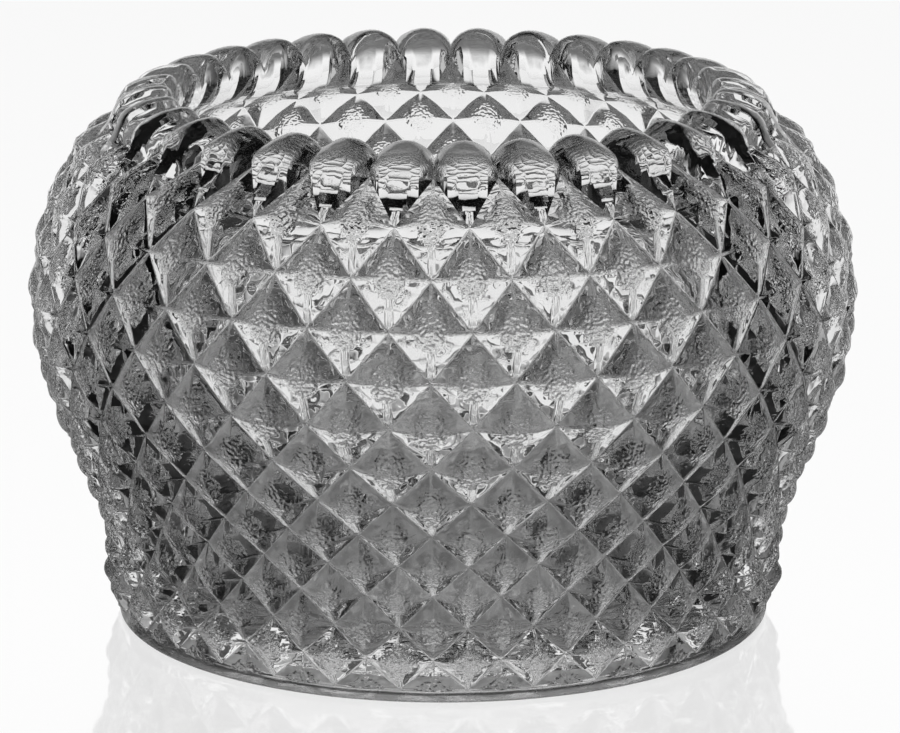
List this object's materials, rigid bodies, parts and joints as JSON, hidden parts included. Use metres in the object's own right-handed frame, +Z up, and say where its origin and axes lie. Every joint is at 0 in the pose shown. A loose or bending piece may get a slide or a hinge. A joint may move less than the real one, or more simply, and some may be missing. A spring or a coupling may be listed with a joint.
{
  "type": "rose bowl vase",
  "caption": "Low round rose bowl vase in clear pressed glass: diamond points all over its bulging wall, a flat foot and a turned-in mouth edged with rounded lobes.",
  "frame": {"origin": "centre of the foot, on the surface that the bowl stands on", "axes": "+Z up along the bowl's axis; a groove between two lobes lies on +X, so -Y faces the camera"},
  "size_m": [0.1538, 0.1538, 0.1003],
  "materials": {
    "clear_glass": "fire-polished pressed glass, slightly wavy in the facets"
  },
  "bodies": {
    "root": {"foot_ring": "clear_glass", "base_disc": "clear_glass", "lower_wall": "clear_glass", "belly_wall": "clear_glass", "shoulder_wall": "clear_glass", "lobed_rim": "clear_glass"}
  },
  "joints": []
}
